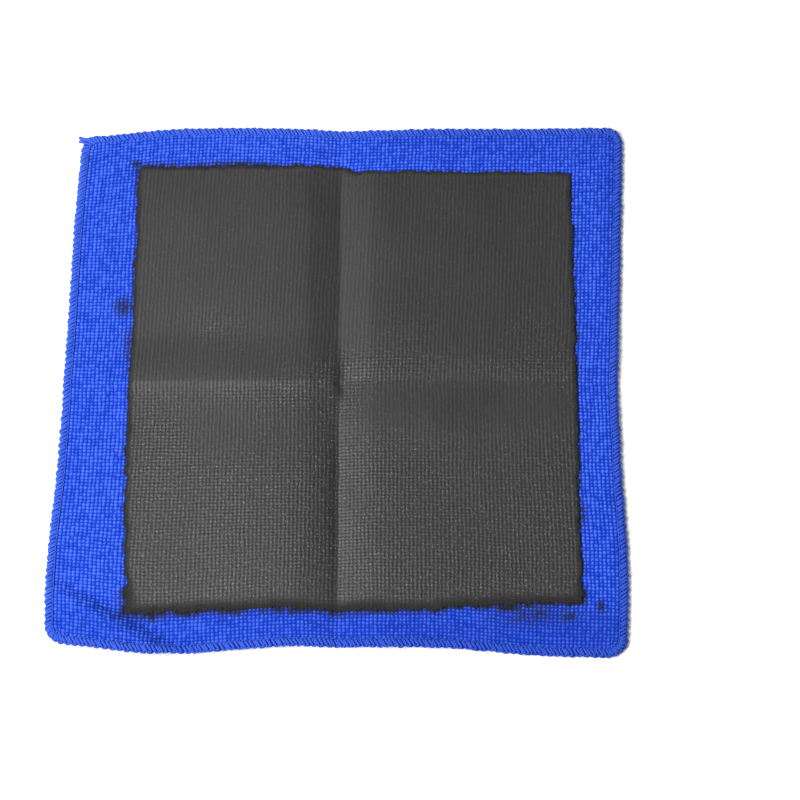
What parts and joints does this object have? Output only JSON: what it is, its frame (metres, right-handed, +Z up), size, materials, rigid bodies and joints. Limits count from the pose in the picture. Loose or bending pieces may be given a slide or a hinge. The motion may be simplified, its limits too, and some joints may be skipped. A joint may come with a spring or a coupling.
{
  "type": "clay towel",
  "caption": "Square microfibre detailing towel with a thin polymer clay layer on one face and an overlocked thread edge, open and flat, folding in half.",
  "frame": {"origin": "centre of the flat underside, on the surface the towel lies on", "axes": "+Z up out of the clay side; the fold line runs along Y at x = 0; the half that folds over lies at -X"},
  "size_m": [0.3002, 0.3, 0.0032],
  "materials": {
    "microfibre": "looped knit pile",
    "polymer_clay": "satin, finely ribbed",
    "edge_thread": "twisted polyester thread"
  },
  "bodies": {
    "right_half": {"cloth_right": "microfibre", "clay_coat_right": "polymer_clay", "needle_thread_right": "edge_thread", "upper_looper_right": "edge_thread", "lower_looper_right": "edge_thread"},
    "left_half": {"cloth_left": "microfibre", "clay_coat_left": "polymer_clay", "needle_thread_left": "edge_thread", "upper_looper_left": "edge_thread", "lower_looper_left": "edge_thread", "thread_tail": "edge_thread"}
  },
  "joints": [
    {"name": "half_fold", "type": "hinge", "parent": "right_half", "child": "left_half", "pos_m": [0, 0, 0.005], "axis": [0, 1, 0], "range_deg": [0, 179.7]}
  ]
}
